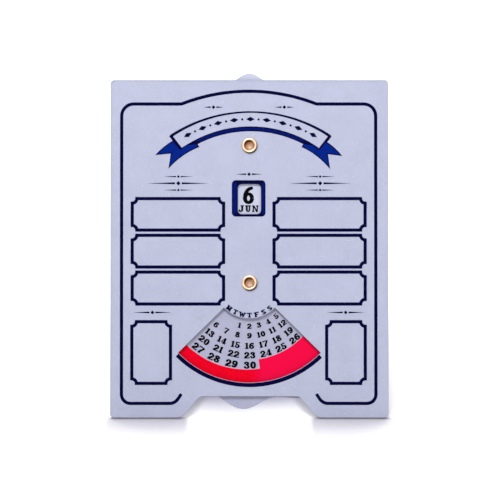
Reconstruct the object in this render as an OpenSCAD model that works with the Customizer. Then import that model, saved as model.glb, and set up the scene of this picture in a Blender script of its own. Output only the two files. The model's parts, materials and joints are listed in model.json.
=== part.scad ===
// Perpetual desk calendar. Two scalloped wheels turn on brass rivets between
// two pressboards, and a hinged easel leg makes the board stand leaning back.
// The front faces -Y and up is +Z. The origin is on the desk, at the centre
// of the footprint. Millimetres and degrees.
//
// Most pieces are drawn in the frame of the upright board: X to the right, Z up
// from its bottom edge, and Y the depth behind its front face. placed() then
// leans the whole board back.

/* [Board] */
// Width of the cores where the date wheel leaves them narrowest
side_strip = 5.3; // [4:0.1:15]
// Thickness of the front board and of the back board
board_t = 1; // [0.8:0.1:1.6]
// Radius of the four corners of the board
corner_r = 2; // [1:0.5:5]
// Angle by which the standing board leans back
lean = 15; // [12:1:20]

/* [Finger Cut-out] */
// Width of the cut-out at its closed end
cutout_w = 50; // [46:1:54]
// Height of the cut-out
cutout_h = 10.7; // [9:0.1:13]
// How far each side slopes outwards down to the bottom edge
cutout_flare = 9; // [5:1:12]
// Radius of the two inner corners
cutout_r = 3; // [1:0.5:4]
// Radius of the two corners on the bottom edge
cutout_toe_r = 5; // [1:0.5:6]

/* [Wheels] */
// Diameter of the date wheel over its lobes; the board's size follows from it
date_wheel_d = 127.4; // [112:0.2:142]
// Diameter of the month wheel over its lobes
month_wheel_d = 72.8; // [66:0.2:82]
// Thickness of each wheel
wheel_t = 0.5; // [0.4:0.1:1]
// Play in front of and behind each wheel
wheel_gap = 0.2; // [0.15:0.05:0.4]
// Gap between the rim of a wheel and the cores round it
pocket_gap = 1; // [0.6:0.1:1.5]
// How far the date wheel's lobes reach down into the cut-out
date_peek = 6.6; // [4:0.1:8]
// Number of lobes on the date wheel
date_lobes = 12; // [10:1:16]
// Depth of the hollows between the date wheel's lobes
date_lobe_d = 4.8; // [2:0.1:6]
// Angle of the lowest lobe from straight down, towards the left
date_turn = 3.3; // [0:0.1:12]
// How far the month wheel's top lobe stands above the board
month_peek = 3.4; // [3:0.1:5]
// Number of lobes on the month wheel, one for each month
month_lobes = 12; // [12:12:24]
// Depth of the hollows between the month wheel's lobes
month_lobe_d = 2.7; // [1.5:0.1:3.4]

/* [Windows] */
// Radius of the fan window's inner edge round the date wheel's pivot
fan_inner_r = 18; // [16:0.5:20]
// Width of the date wheel's rim that the fan window leaves covered
fan_margin = 13.5; // [8:0.1:16]
// Angle between the fan window's two straight sides
fan_angle = 91; // [80:1:96]
// Width of the month window
month_window_w = 11.6; // [9:0.1:13]
// Height of the month window
month_window_h = 15.1; // [12:0.1:16]
// Radius of the month window's corners
month_window_r = 2; // [0.5:0.5:3]
// Width of the month wheel's rim that the month window leaves covered
month_margin = 1.8; // [1.8:0.1:5]

/* [Pivot Rivets] */
// Diameter of the shank that a wheel turns on
shank_d = 5.8; // [5.5:0.1:6.4]
// Diameter of the blind hole in the front of the shank
rivet_hole_d = 4.9; // [4.4:0.1:5.3]
// Depth of the blind hole below the board's face
rivet_hole_depth = 1.6; // [1:0.1:2]
// Outer diameter of the rolled rim on the front
rim_d = 7.6; // [7.4:0.1:9]
// Height of the rolled rim
rim_h = 0.8; // [0.4:0.1:0.9]
// Diameter of the flat head on the back
pivot_head_d = 9; // [8:0.1:11]
// Height of the flat head on the back
pivot_head_h = 0.4; // [0.3:0.05:0.45]
// Diameter of the spacer behind the month wheel
upper_spacer_d = 9; // [8:0.1:11]
// Diameter of the spacer in front of the date wheel
lower_spacer_d = 14; // [10:0.5:20]

/* [Easel Leg] */
// Height of the leg's hinge as a share of the board's height
hinge_share = 0.56; // [0.52:0.01:0.59]
// Thickness of the leg
leg_t = 1.2; // [1:0.1:1.6]
// Width of the leg at the hinge
leg_top_w = 28; // [27:1:34]
// Width of the leg at its foot
leg_foot_w = 44; // [36:1:48]
// Radius of the leg's corners
leg_corner_r = 3; // [1:0.5:5]

/* [Hinge] */
// Thickness of the hinge's sheet brass
leaf_t = 0.5; // [0.4:0.05:0.6]
// Width of both leaves
leaf_w = 25; // [24:0.5:26]
// Height of each leaf from the pin
leaf_h = 12; // [11:0.5:14]
// Radius of the leaves' free corners
leaf_corner_r = 2; // [0.5:0.5:3]
// Diameter of the pin
pin_d = 1.6; // [1.4:0.1:1.8]
// Length of the leg leaf's knuckle, in the middle
mid_knuckle_l = 8; // [6:0.5:9]
// Length of each of the plate's two outer knuckles
end_knuckle_l = 4.4; // [3.5:0.1:4.5]

/* [Leaf Rivets] */
// Diameter of a rivet's shank
small_shank_d = 2; // [1.6:0.1:2.4]
// Diameter of a rivet's two heads
small_head_d = 4; // [3.4:0.1:4.4]
// Height of the domed head
small_dome_h = 0.6; // [0.4:0.05:0.8]
// Height of the flat head
small_flat_h = 0.35; // [0.25:0.05:0.4]
// Distance of the rivets from the pin
small_rivet_drop = 7; // [6.5:0.1:7.5]
// Distance of the rivets from the sides of their leaf
small_rivet_inset = 5; // [4:0.1:6]

/* [Fits] */
// Radial play of a wheel on its rivet
wheel_play = 0.08; // [0.04:0.01:0.1]
// Radial play of the leg's knuckle on the pin
pin_play = 0.05; // [0.03:0.01:0.09]
// Gap between neighbouring knuckles
knuckle_gap = 0.2; // [0.15:0.05:0.3]
// Gap left between the stop ears and the plate when the leg is open
stop_gap = 0.1; // [0.06:0.02:0.2]

/* [Hidden] */

board_blue = [0.75, 0.77, 0.86];
wheel_grey = [0.74, 0.75, 0.84];
brass = [0.79, 0.66, 0.44];
fibre_brown = [0.45, 0.30, 0.22];

$fn = 96;
arc_steps = 8;          // straight pieces in one rounded corner
lobe_steps = 16;        // straight pieces in one lobe of a wheel
overshoot = 1;          // how far a cut runs past the face it opens

// Depths of the layers behind the front face
month_wheel_y = board_t + wheel_gap;
date_wheel_y = month_wheel_y + wheel_t + wheel_gap;
back_board_y = date_wheel_y + wheel_t + wheel_gap;
stack_t = back_board_y + board_t;

// Wheels, the pockets that the cores leave round them, and the board that
// holds them: the upper rivet stands just clear of the date wheel's rim
spacer_edge_gap = 1;    // between the date wheel's rim and the upper spacer
date_r = date_wheel_d / 2;
month_r = month_wheel_d / 2;
date_pivot_h = cutout_h - date_peek + date_r;
month_pivot_h = date_pivot_h + date_r + spacer_edge_gap + upper_spacer_d / 2;
date_pocket_r = date_r + pocket_gap;
month_pocket_r = month_r + pocket_gap;
board_w = 2 * (date_pocket_r + side_strip);
board_h = month_pivot_h + month_r - month_peek;
fan_outer_r = date_r - fan_margin;
month_window_drop = month_r - month_margin - month_window_h / 2;

// The mouths of the pocket are a little wider than the openings they meet,
// so that the cores end in blunt edges
mouth_trim = 0.7;
top_mouth_half = sqrt(pow(month_pocket_r, 2) - pow(board_h - month_pivot_h, 2)) + mouth_trim;
foot_mouth_half = cutout_w / 2 + 2 * cutout_flare / 3;

// Hinge, measured from the axis of its pin
pin_r = pin_d / 2;
knuckle_r = pin_r + pin_play + leaf_t;
pin_y = stack_t + knuckle_r;
hinge_h = hinge_share * board_h;
mid_knuckle_half = mid_knuckle_l / 2;
end_knuckle_from = mid_knuckle_half + knuckle_gap;
end_knuckle_to = end_knuckle_from + end_knuckle_l;
ear_gap = 0.4;          // between an ear and the knuckle beside it
ear_from = end_knuckle_to + ear_gap;
notch_h = knuckle_r + 0.25;
pin_end = 0.3;          // how far the pin stands out of its knuckles
leaf_front = knuckle_r - leaf_t;
leg_front = leaf_front - leg_t;
leg_top_drop = knuckle_r + 0.35;
rivet_recess = small_flat_h + 0.15;

// The open leg: it tilts a little less than the board leans, so that the
// folded leg ends just above the bottom edge
fold_allowance = 1;
leg_tilt = lean - fold_allowance;
open_angle = lean + leg_tilt;
ear_h = (leaf_front + leaf_front * cos(open_angle) - stop_gap) / sin(open_angle);
pin_z = hinge_h * cos(lean) - knuckle_r * sin(lean);
leg_l = (pin_z + leg_front * sin(leg_tilt)) / cos(leg_tilt);
foot_y = pin_y * cos(lean) + hinge_h * sin(lean)
    + leg_l * sin(leg_tilt) + leaf_front * cos(leg_tilt);

// Places of the small rivets from the pin
small_x = leaf_w / 2 - small_rivet_inset;

function unit(v) = v / norm(v);

// Points of the arc that rounds the corner p between two neighbours
function corner(p, before, after, r) =
    let (
        a = unit(before - p),
        b = unit(after - p),
        half = acos(a * b) / 2,
        centre = p + unit(a + b) * r / sin(half),
        first = p + a * r / tan(half) - centre,
        last = p + b * r / tan(half) - centre,
        turn = 180 - 2 * half
    )
    [for (i = [0 : arc_steps])
        centre + (first * sin(turn * (1 - i / arc_steps)) + last * sin(turn * i / arc_steps)) / sin(turn)];

// Outline with its corners rounded; a radius of 0 keeps a corner sharp
function rounded(points, radii) =
    let (n = len(points))
    [for (i = [0 : n - 1])
        each radii[i] == 0 ? [points[i]]
            : corner(points[i], points[(i + n - 1) % n], points[(i + 1) % n], radii[i])];

// Outline of the board, with the finger cut-out in its bottom edge
function board_outline() =
    let (w = board_w / 2, c = cutout_w / 2, f = c + cutout_flare)
    rounded(
        [[-w, 0], [-f, 0], [-c, cutout_h], [c, cutout_h], [f, 0], [w, 0], [w, board_h], [-w, board_h]],
        [corner_r, cutout_toe_r, cutout_r, cutout_r, cutout_toe_r, corner_r, corner_r, corner_r]);

function box_outline(w, h) = [[-w, -h], [w, -h], [w, h], [-w, h]] / 2;

// Rim of a wheel: a circle with a smooth wave; the first lobe is at angle turn
function wave_outline(tip_r, lobes, depth, turn) =
    let (n = lobes * lobe_steps)
    [for (i = [0 : n - 1])
        let (a = 360 * i / n, r = tip_r - depth / 2 * (1 - cos(a * lobes)))
        r * [cos(a + turn), sin(a + turn)]];

// Leans the upright board back and sets it on the desk
module placed() {
    translate([0, -foot_y / 2, stack_t * sin(lean)]) rotate([-lean, 0, 0]) children();
}

// Frame of the hinge pin, on the leaning board
module at_pin() {
    placed() translate([0, pin_y, hinge_h]) children();
}

// Frame of the open leg: as at_pin(), and turned with the leg
module at_leg() {
    at_pin() rotate([open_angle, 0, 0]) children();
}

// Sheet of thickness t whose front face is at the given depth
module sheet(depth, t) {
    translate([0, depth + t, 0]) rotate([90, 0, 0]) linear_extrude(t) children();
}

// Solid of revolution about the depth axis: the profile's Y is the depth
module turned(x, z) {
    translate([x, 0, z]) rotate([-90, 0, 0]) rotate_extrude() children();
}

// Round hole through everything from one depth to another
module bore(d, x, z, from, to) {
    translate([x, from, z]) rotate([-90, 0, 0]) cylinder(d = d, h = to - from);
}

// Low dome over the half disc of the given diameter, as a profile
module dome_profile(d, h) {
    ball_r = (pow(d / 2, 2) + pow(h, 2)) / (2 * h);
    intersection() {
        translate([0, h - ball_r]) circle(ball_r);
        square([d / 2, h]);
    }
}

module fan_window() {
    half = fan_angle / 2;
    reach = fan_outer_r + overshoot;
    intersection() {
        difference() {
            circle(fan_outer_r);
            circle(fan_inner_r);
        }
        polygon([[0, 0], reach * [-tan(half), -1], reach * [tan(half), -1]]);
    }
}

module month_window() {
    polygon(rounded(box_outline(month_window_w, month_window_h), [for (i = [1 : 4]) month_window_r]));
}

module front_board() {
    color(board_blue) placed() difference() {
        sheet(0, board_t) polygon(board_outline());
        sheet(-overshoot, board_t + 2 * overshoot) {
            translate([0, date_pivot_h]) fan_window();
            translate([0, month_pivot_h - month_window_drop]) month_window();
        }
        for (z = [date_pivot_h, month_pivot_h]) bore(shank_d, 0, z, -overshoot, board_t + overshoot);
    }
}

module back_board() {
    color(board_blue) placed() difference() {
        sheet(back_board_y, board_t) polygon(board_outline());
        for (z = [date_pivot_h, month_pivot_h])
            bore(shank_d, 0, z, back_board_y - overshoot, stack_t + overshoot);
        for (x = [-small_x, small_x]) {
            bore(small_shank_d, x, hinge_h + small_rivet_drop, back_board_y, stack_t + overshoot);
            bore(small_head_d, x, hinge_h + small_rivet_drop,
                back_board_y - overshoot, back_board_y + rivet_recess);
        }
    }
}

// Spacer board at one side of the wheels' pocket: side is -1 (left) or 1 (right)
module core(side) {
    from = board_t - overshoot;
    to = back_board_y + overshoot;
    color(board_blue) placed() difference() {
        sheet(board_t, back_board_y - board_t) polygon(board_outline());
        bore(2 * date_pocket_r, 0, date_pivot_h, from, to);
        bore(2 * month_pocket_r, 0, month_pivot_h, from, to);
        translate([-foot_mouth_half, from, -overshoot])
            cube([2 * foot_mouth_half, to - from, date_pivot_h + overshoot]);
        translate([-top_mouth_half, from, month_pivot_h])
            cube([2 * top_mouth_half, to - from, board_h - month_pivot_h + overshoot]);
        translate([side < 0 ? 0 : -board_w, from, -overshoot])
            cube([board_w, to - from, board_h + 2 * overshoot]);
    }
}

module wheel(depth, pivot_h, tip_r, lobes, lobe_d, turn) {
    color(wheel_grey) placed() difference() {
        sheet(depth, wheel_t) translate([0, pivot_h]) polygon(wave_outline(tip_r, lobes, lobe_d, turn));
        bore(shank_d + 2 * wheel_play, 0, pivot_h, depth - overshoot, depth + wheel_t + overshoot);
    }
}

module month_wheel() {
    wheel(month_wheel_y, month_pivot_h, month_r, month_lobes, month_lobe_d, 90);
}

module date_wheel() {
    wheel(date_wheel_y, date_pivot_h, date_r, date_lobes, date_lobe_d, -90 - date_turn);
}

// Semi-tubular rivet: a solid head on the back, and a hollow front end whose
// edge is rolled outwards over the board
module pivot_rivet(z) {
    rim_w = (rim_d - rivet_hole_d) / 2;
    rim_ball_r = (pow(rim_w / 2, 2) + pow(rim_h, 2)) / (2 * rim_h);
    color(brass) placed() turned(0, z) {
        difference() {
            square([shank_d / 2, stack_t]);
            square([rivet_hole_d / 2, rivet_hole_depth]);
            polygon([[0, rivet_hole_depth], [rivet_hole_d / 2, rivet_hole_depth],
                [0, rivet_hole_depth + rivet_hole_d / 8]]);
        }
        intersection() {
            translate([(rivet_hole_d + rim_w) / 2, rim_ball_r - rim_h]) circle(rim_ball_r);
            translate([rivet_hole_d / 2, -rim_h]) square([rim_w, rim_h]);
        }
        translate([0, stack_t]) square([pivot_head_d / 2, pivot_head_h]);
    }
}

module upper_rivet() {
    pivot_rivet(month_pivot_h);
}

module lower_rivet() {
    pivot_rivet(date_pivot_h);
}

// Fibre washer on a rivet's shank
module spacer(z, d, depth, t) {
    color(fibre_brown) placed() difference() {
        bore(d, 0, z, depth, depth + t);
        bore(shank_d, 0, z, depth - overshoot, depth + t + overshoot);
    }
}

// Behind the month wheel, beyond the rim of the date wheel
module upper_spacer() {
    spacer(month_pivot_h, upper_spacer_d, date_wheel_y, back_board_y - date_wheel_y);
}

// In front of the date wheel, in the layer of the month wheel
module lower_spacer() {
    spacer(date_pivot_h, lower_spacer_d, board_t, date_wheel_y - wheel_gap - board_t);
}

module easel_leg() {
    outline = rounded(
        [[-leg_foot_w / 2, -leg_l], [leg_foot_w / 2, -leg_l],
            [leg_top_w / 2, -leg_top_drop], [-leg_top_w / 2, -leg_top_drop]],
        [leg_corner_r, leg_corner_r, leg_corner_r, leg_corner_r]);
    color(board_blue) at_leg() difference() {
        sheet(leg_front, leg_t) polygon(outline);
        for (x = [-small_x, small_x])
            bore(small_shank_d, x, -small_rivet_drop, leg_front - overshoot, leaf_front + overshoot);
    }
}

// One knuckle of the hinge, solid, along the pin
module knuckle(from, length) {
    translate([from, 0, 0]) rotate([0, 90, 0]) cylinder(r = knuckle_r, h = length);
}

// The bore for the pin, through the whole hinge
module pin_bore(r) {
    translate([-leaf_w / 2, 0, 0]) rotate([0, 90, 0]) cylinder(r = r, h = leaf_w);
}

// Leaf on the back board, with the two outer knuckles that hold the pin
module hinge_plate() {
    w = leaf_w / 2;
    m = end_knuckle_from;
    outline = rounded(
        [[-w, 0], [-m, 0], [-m, notch_h], [m, notch_h], [m, 0], [w, 0], [w, leaf_h], [-w, leaf_h]],
        [0, 0, 0, 0, 0, 0, leaf_corner_r, leaf_corner_r]);
    color(brass) at_pin() difference() {
        union() {
            sheet(-knuckle_r, leaf_t) polygon(outline);
            knuckle(end_knuckle_from, end_knuckle_l);
            knuckle(-end_knuckle_to, end_knuckle_l);
        }
        pin_bore(pin_r);
        for (x = [-small_x, small_x])
            bore(small_shank_d, x, small_rivet_drop, -knuckle_r - overshoot, -leaf_front + overshoot);
    }
}

// Leaf on the leg, with the middle knuckle, and an ear at each side that stands
// past the pin and stops the leg when it meets the plate
module hinge_leaf() {
    w = leaf_w / 2;
    m = mid_knuckle_half;
    outline = rounded(
        [[-w, -leaf_h], [w, -leaf_h], [w, ear_h], [ear_from, ear_h],
            [ear_from, -notch_h], [m, -notch_h], [m, 0], [-m, 0], [-m, -notch_h],
            [-ear_from, -notch_h], [-ear_from, ear_h], [-w, ear_h]],
        [leaf_corner_r, leaf_corner_r, 0, 0, 0, 0, 0, 0, 0, 0, 0, 0]);
    color(brass) at_leg() difference() {
        union() {
            sheet(leaf_front, leaf_t) polygon(outline);
            knuckle(-mid_knuckle_half, mid_knuckle_l);
        }
        pin_bore(pin_r + pin_play);
        for (x = [-small_x, small_x])
            bore(small_shank_d, x, -small_rivet_drop, leaf_front - overshoot, knuckle_r + overshoot);
    }
}

module hinge_pin() {
    half = end_knuckle_to + pin_end;
    color(brass) at_pin() translate([-half, 0, 0]) rotate([0, 90, 0]) cylinder(r = pin_r, h = 2 * half);
}

// Small rivet: a flat head in front of one depth and a dome behind another
module small_rivet(x, z, from, to) {
    turned(x, z) {
        translate([0, from - small_flat_h]) square([small_head_d / 2, small_flat_h]);
        translate([0, from]) square([small_shank_d / 2, to - from]);
        translate([0, to]) dome_profile(small_head_d, small_dome_h);
    }
}

// Rivet of the hinge plate; its flat head lies in a recess inside the back board
module plate_rivet(x) {
    color(brass) at_pin() small_rivet(x, small_rivet_drop, rivet_recess - board_t - knuckle_r, -leaf_front);
}

// Rivet of the hinge leaf, through the leg
module leaf_rivet(x) {
    color(brass) at_leg() small_rivet(x, -small_rivet_drop, leg_front, knuckle_r);
}

front_board();
back_board();
core(-1);  // left_core
core(1);  // right_core
month_wheel();
date_wheel();
upper_rivet();
lower_rivet();
upper_spacer();
lower_spacer();
easel_leg();
hinge_plate();
hinge_leaf();
hinge_pin();
plate_rivet(-small_x);  // plate_rivet_left
plate_rivet(small_x);  // plate_rivet_right
leaf_rivet(-small_x);  // leaf_rivet_left
leaf_rivet(small_x);  // leaf_rivet_right
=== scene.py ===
import json
import math

import bpy
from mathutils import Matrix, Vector, geometry

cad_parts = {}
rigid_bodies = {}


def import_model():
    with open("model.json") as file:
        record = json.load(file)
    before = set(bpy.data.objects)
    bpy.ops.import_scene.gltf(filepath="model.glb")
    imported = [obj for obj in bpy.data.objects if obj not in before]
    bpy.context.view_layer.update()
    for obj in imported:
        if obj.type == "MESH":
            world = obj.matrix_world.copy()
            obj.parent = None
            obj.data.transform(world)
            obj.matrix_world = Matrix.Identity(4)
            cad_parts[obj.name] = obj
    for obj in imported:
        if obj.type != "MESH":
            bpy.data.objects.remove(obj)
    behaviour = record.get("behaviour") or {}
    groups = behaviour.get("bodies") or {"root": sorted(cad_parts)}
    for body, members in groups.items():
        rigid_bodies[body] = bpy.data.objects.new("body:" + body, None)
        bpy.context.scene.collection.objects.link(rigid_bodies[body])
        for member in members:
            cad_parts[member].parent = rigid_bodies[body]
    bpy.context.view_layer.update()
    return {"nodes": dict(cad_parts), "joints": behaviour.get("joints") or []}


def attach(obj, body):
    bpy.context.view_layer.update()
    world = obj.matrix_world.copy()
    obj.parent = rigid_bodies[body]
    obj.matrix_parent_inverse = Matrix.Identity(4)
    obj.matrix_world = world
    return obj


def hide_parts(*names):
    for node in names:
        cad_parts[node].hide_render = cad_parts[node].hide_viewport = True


for stray in list(bpy.data.objects):
    bpy.data.objects.remove(stray)
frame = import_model()

# ---------------------------------------------------------------- the board's own frame
# u runs right, v runs up the board from its bottom edge and d runs back from its face, in mm.

MM = 0.001
NODES = frame["nodes"]
JOINTS = {j["name"]: j for j in frame["joints"]}
RIGHT = Vector((1, 0, 0))
OUT = Vector(JOINTS["date_wheel_spin"]["axis"]).normalized()
UP = OUT.cross(RIGHT)


def reach(node, axis):
    """Lowest and highest place of a node along an axis, in metres."""
    along = [axis.dot(v.co) for v in NODES[node].data.vertices]
    return min(along), max(along)


FACE = reach("front_board", OUT)[1]
FOOT = reach("front_board", UP)[0]


def at(u, v, d=0.0):
    """The point of the row frame at a place of the board's own frame."""
    return RIGHT * (u * MM) + UP * (FOOT + v * MM) + OUT * (FACE - d * MM)


def depth_of(node):
    """How far a node's front lies behind the board's face."""
    return (FACE - reach(node, OUT)[1]) / MM


def pivot_height(joint):
    return (UP.dot(Vector(JOINTS[joint]["pos_m"])) - FOOT) / MM


DATE_V = pivot_height("date_wheel_spin")
MONTH_V = pivot_height("month_wheel_spin")

# ---------------------------------------------------------------- nodes and materials

WHITE = (1.0, 1.0, 1.0, 1.0)
BLANK_BLACK = (0.0, 0.0, 0.0, 1.0)
# Painted shade on the boards: where pieces within this reach, in mm, stand toward this lean, up and to the
# left, as a light from there would cast it.
SHADE_LEAN = UP * 0.75 - RIGHT * 0.5
SHADE_REACH = 1.5


def srgb(r, g, b):
    """A colour read off as 0 to 255, as Blender's linear values."""
    lin = [c / 255 for c in (r, g, b)]
    lin = [c / 12.92 if c <= 0.04045 else ((c + 0.055) / 1.055) ** 2.4 for c in lin]
    return (*lin, 1.0)


class Nodes:
    """A small builder for the nodes of a material or of the world."""

    def __init__(self, owner, output="ShaderNodeOutputMaterial"):
        self.owner = owner
        owner.use_nodes = True
        self.tree = owner.node_tree
        self.tree.nodes.clear()
        self.out = self.add(output)
        self.place = self.add("ShaderNodeTexCoord").outputs["Object"]

    def add(self, kind, **values):
        """A new node with its settings."""
        made = self.tree.nodes.new(kind)
        for key, value in values.items():
            setattr(made, key, value)
        return made

    def link(self, source, target):
        self.tree.links.new(source, target)

    def noise(self, scale, detail, rough, stretch=None):
        """Noise around 0.5, in patches of about 1 / scale metres."""
        made = self.add("ShaderNodeTexNoise")
        made.inputs["Scale"].default_value = scale
        made.inputs["Detail"].default_value = detail
        made.inputs["Roughness"].default_value = rough
        self.link(self.stretched(stretch), made.inputs["Vector"])
        return made.outputs["Fac"]

    def stretched(self, stretch):
        """The place on the piece, scaled along each axis if stretch says so."""
        if stretch is None:
            return self.place
        mapping = self.add("ShaderNodeMapping")
        mapping.inputs["Scale"].default_value = stretch
        self.link(self.place, mapping.inputs["Vector"])
        return mapping.outputs["Vector"]

    def cells(self, scale, stretch=None):
        """Cells of about 1 / scale metres: their distance from the middle and a colour of their own."""
        made = self.add("ShaderNodeTexVoronoi")
        made.inputs["Scale"].default_value = scale
        self.link(self.stretched(stretch), made.inputs["Vector"])
        return made

    def ramp(self, source, low, high, start=0.0, end=1.0):
        """From start, where source is low or less, to end, where it is high or more."""
        made = self.add("ShaderNodeMapRange")
        made.inputs["From Min"].default_value = low
        made.inputs["From Max"].default_value = high
        made.inputs["To Min"].default_value = start
        made.inputs["To Max"].default_value = end
        self.link(source, made.inputs["Value"])
        return made.outputs["Result"]

    def math(self, what, a, b):
        made = self.add("ShaderNodeMath", operation=what)
        for socket, value in zip(made.inputs, (a, b)):
            if isinstance(value, (int, float)):
                socket.default_value = value
            else:
                self.link(value, socket)
        return made.outputs[0]

    def mix(self, factor, a, b):
        """Colour a where factor is 0, colour b where it is 1."""
        made = self.add("ShaderNodeMix", data_type="RGBA")
        for socket, value in zip((made.inputs[0], made.inputs[6], made.inputs[7]), (factor, a, b)):
            if isinstance(value, (int, float, tuple)):
                socket.default_value = value
            else:
                self.link(value, socket)
        return made.outputs[2]

    def bump(self, height, distance, strength):
        """The surface's direction, tilted as if it had that height."""
        made = self.add("ShaderNodeBump")
        made.inputs["Strength"].default_value = strength
        made.inputs["Distance"].default_value = distance
        self.link(height, made.inputs["Height"])
        return made.outputs["Normal"]

    def dot(self, source, direction):
        """How far a vector reaches along a fixed direction."""
        made = self.add("ShaderNodeVectorMath", operation="DOT_PRODUCT")
        self.link(source, made.inputs[0])
        made.inputs[1].default_value = direction
        return made.outputs["Value"]

    def facing(self, direction, which="Normal"):
        """How squarely the surface faces a direction of the part at rest: 1 to it, -1 away from it."""
        rest = self.add(
            "ShaderNodeVectorTransform", vector_type="NORMAL", convert_from="WORLD", convert_to="OBJECT")
        self.link(self.add("ShaderNodeNewGeometry").outputs[which], rest.inputs[0])
        return self.dot(rest.outputs[0], direction)

    def coordinate(self, axis):
        split = self.add("ShaderNodeSeparateXYZ")
        self.link(self.place, split.inputs[0])
        return split.outputs[axis]

    def openness(self, distance, samples, normal=None):
        """1 where nothing is near the surface, less where pieces within the distance close it in."""
        made = self.add("ShaderNodeAmbientOcclusion", samples=samples)
        made.inputs["Distance"].default_value = distance
        if normal is not None:
            self.link(normal, made.inputs["Normal"])
        return made.outputs["AO"]

    def hollows(self, colour):
        """The colour, darkened as painted shade where something close by stands between the surface and the
        upper left, as a light from there would cast it.
        """
        tilted = self.add("ShaderNodeVectorMath", operation="ADD")
        self.link(self.add("ShaderNodeNewGeometry").outputs["Normal"], tilted.inputs[0])
        tilted.inputs[1].default_value = SHADE_LEAN
        unit = self.add("ShaderNodeVectorMath", operation="NORMALIZE")
        self.link(tilted.outputs[0], unit.inputs[0])
        close = self.openness(SHADE_REACH * MM, 6, unit.outputs[0])
        return self.mix(self.ramp(close, 0.5, 0.86, 0.06, 1.0), BLANK_BLACK, colour)

    def seen(self):
        """1 for what the camera sees, straight or through gloss or glass, and 0 for what lights the part."""
        path = self.add("ShaderNodeLightPath")
        seen = self.math("MAXIMUM", path.outputs["Is Camera Ray"], path.outputs["Is Glossy Ray"])
        return self.math("MAXIMUM", seen, path.outputs["Is Transmission Ray"])

    def surface(self, colour, rough, normal, **fixed):
        """Closes the material with one shader, whose other settings are fixed values."""
        shader = self.add("ShaderNodeBsdfPrincipled")
        for key, value in fixed.items():
            shader.inputs[key.replace("_", " ")].default_value = value
        self.link(colour, shader.inputs["Base Color"])
        self.link(rough, shader.inputs["Roughness"])
        self.link(normal, shader.inputs["Normal"])
        self.link(shader.outputs[0], self.out.inputs["Surface"])
        return self.owner


def material(name):
    return Nodes(bpy.data.materials.new(name))


def tinted(colour, share, lift=0.0):
    """A colour times a share, plus a lift."""
    return (*(c * share + lift for c in colour[:3]), 1.0)


def card(name, base, core_shade, fleck=1.0, grain=1.0, with_painted_shade=True):
    """Dyed card or pressboard: mottled dye and fibres on its faces, and inner layers at its cut edges, drawn
    darker as painted shade along them.

    fleck and grain set how strong its fibres and its relief are. Its last switch darkens it with painted
    shade beside what lies on it."""
    n = material(name)
    mottle = n.ramp(n.noise(90, 5, 0.65), 0.3, 0.7)
    colour = n.mix(mottle, tinted(base, 0.94), tinted(base, 1.045))
    cloud = n.ramp(n.noise(900, 3, 0.7), 0.35, 0.65, 0.0, 0.5 * fleck)
    colour = n.mix(cloud, colour, tinted(base, 1.09))
    for scale, size, chance, tint, strength, stretch in (
        (520, 0.16, 0.86, (0.93, 0.94, 0.97, 1.0), 0.75, (1.0, 0.8, 1.3)),
        (900, 0.20, 0.80, (0.86, 0.88, 0.93, 1.0), 0.45, (0.5, 1.0, 1.4)),
        (640, 0.13, 0.84, tinted(base, 0.55), 0.6, (1.3, 0.6, 0.7)),
    ):
        spots = n.cells(scale, stretch)
        near = n.ramp(spots.outputs["Distance"], size, size * 0.45)
        split = n.add("ShaderNodeSeparateColor")
        n.link(spots.outputs["Color"], split.inputs[0])
        chosen = n.math("GREATER_THAN", split.outputs[0], chance)
        amount = n.math("MULTIPLY", n.math("MULTIPLY", near, chosen), strength * fleck)
        colour = n.mix(amount, colour, tint)
    layers = n.ramp(n.noise(260, 4, 0.7, (0.5, 14.0, 1.0)), 0.3, 0.7)
    # The cut edges' colour is darker than the faces: painted shade along the edges, over their layers.
    edge = n.mix(layers, tinted(core_shade, 0.82), core_shade)
    square_on = n.math("ABSOLUTE", n.facing(OUT, "True Normal"), 0.0)
    colour = n.mix(n.ramp(square_on, 0.72, 0.95), edge, colour)
    # Painted shade beside what lies on the card, as if cast from the upper left.
    if with_painted_shade:
        colour = n.hollows(colour)
    fibres = n.noise(2600, 3, 0.7, (1.0, 1.0, 0.6))
    pressed = n.noise(420, 2, 0.5)
    height = n.math("ADD", fibres, n.math("MULTIPLY", pressed, 0.8))
    normal = n.bump(height, 0.06 * MM * grain, 0.5)
    rough = n.ramp(fibres, 0.3, 0.7, 0.62, 0.82)
    return n.surface(colour, rough, normal, IOR=1.45, Specular_IOR_Level=0.15)


def ink(name, base, rough=0.5, right_side=None):
    """Printing ink on card, a little uneven, with the card's grain just showing in it.

    right_side is the colour that it turns to on the right of the part's middle."""
    n = material(name)
    patchy = n.ramp(n.noise(700, 4, 0.7), 0.3, 0.7)
    colour = n.mix(patchy, tinted(base, 0.9), tinted(base, 1.1, 0.001))
    if right_side:
        colour = n.mix(n.ramp(n.coordinate("X"), 1 * MM, 7 * MM), colour, right_side)
    pores = n.ramp(n.noise(5200, 2, 0.6), 0.66, 0.8, 0.0, 0.3)
    colour = n.mix(pores, colour, tinted(base, 0.8, 0.015))
    grain = n.noise(2600, 3, 0.7)
    normal = n.bump(grain, 0.03 * MM, 0.4)
    return n.surface(colour, n.ramp(grain, 0.3, 0.7, rough, rough + 0.18), normal, Specular_IOR_Level=0.03)


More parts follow.
